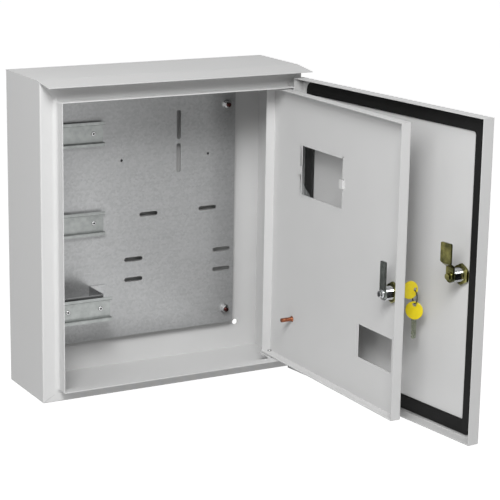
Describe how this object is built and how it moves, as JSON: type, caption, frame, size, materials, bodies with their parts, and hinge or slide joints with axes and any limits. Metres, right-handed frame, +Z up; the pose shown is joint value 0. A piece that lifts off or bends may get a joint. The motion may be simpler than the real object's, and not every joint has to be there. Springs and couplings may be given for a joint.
{
  "type": "electric meter box",
  "caption": "Wall-mounted sheet-steel electric meter box with a rain visor, a sealed outer door, a windowed inner door, cam locks, a slotted mounting plate and device rails.",
  "frame": {"origin": "centre of the back face, midway between the wall holes", "axes": "+Y into the wall, +Z up, +X towards the hinge side; the front faces -Y"},
  "size_m": [0.439, 0.5238, 0.445],
  "materials": {
    "enclosure_paint": "fine textured powder coat",
    "galvanised_plate": "galvanised, mottled",
    "rail_zinc": "bright zinc",
    "bright_steel": "bright zinc",
    "copper_plate": "copper flash",
    "yellow_zinc": "yellow zinc",
    "lock_chrome": "polished",
    "key_cover": "satin yellow",
    "seal_rubber": "matt",
    "window_clear": "clear"
  },
  "bodies": {
    "cabinet": {"cabinet_body": "enclosure_paint", "roof_visor": "enclosure_paint", "mounting_plate": "galvanised_plate", "plate_studs": "copper_plate", "plate_spacers": "bright_steel", "plate_washers": "bright_steel", "plate_nuts": "bright_steel", "upper_rail": "rail_zinc", "middle_rail": "rail_zinc", "lower_rail": "rail_zinc", "rail_stand": "galvanised_plate", "rail_rivets": "rail_zinc", "outer_hinge_lugs": "enclosure_paint", "outer_hinge_pins": "bright_steel", "inner_hinge_brackets": "enclosure_paint", "inner_hinge_pins": "bright_steel", "inner_hinge_washer": "bright_steel", "inner_lock_keeper": "enclosure_paint"},
    "outer_door": {"outer_door": "enclosure_paint", "door_gasket": "seal_rubber", "outer_hinge_leaves": "enclosure_paint", "outer_lock_body": "lock_chrome", "outer_lock_nut": "yellow_zinc"},
    "outer_lock": {"outer_lock_plug": "lock_chrome", "outer_lock_cam": "yellow_zinc", "outer_lock_screw": "yellow_zinc"},
    "inner_door": {"inner_door": "enclosure_paint", "meter_window_pane": "window_clear", "earth_stud": "copper_plate", "inner_lock_body": "lock_chrome", "inner_lock_nut": "yellow_zinc"},
    "inner_lock": {"inner_lock_plug": "lock_chrome", "inner_lock_cam": "bright_steel", "inner_lock_screw": "bright_steel", "key_head": "key_cover", "key_blade": "bright_steel", "key_ring": "bright_steel", "spare_key_head": "key_cover", "spare_key_blade": "bright_steel"}
  },
  "joints": [
    {"name": "outer_door_hinge", "type": "hinge", "parent": "cabinet", "child": "outer_door", "pos_m": [0.191, -0.1373, 0], "axis": [0, 0, 1], "range_deg": [-96, 0]},
    {"name": "inner_door_hinge", "type": "hinge", "parent": "cabinet", "child": "inner_door", "pos_m": [0.1688, -0.0985, 0], "axis": [0, 0, 1], "range_deg": [-90, 0]},
    {"name": "outer_lock_turn", "type": "hinge", "parent": "outer_door", "child": "outer_lock", "pos_m": [0.23451, -0.47762, -0.0025], "axis": [0.9945, 0.1045, 0], "range_deg": [0, 90]},
    {"name": "inner_lock_turn", "type": "hinge", "parent": "inner_door", "child": "inner_lock", "pos_m": [0.1735, -0.413, -0.0355], "axis": [1, 0, 0], "range_deg": [0, 90]}
  ],
  "couplings": [
    {"joint": "inner_door_hinge", "follows": "outer_door_hinge", "ratio": 0.9375}
  ]
}
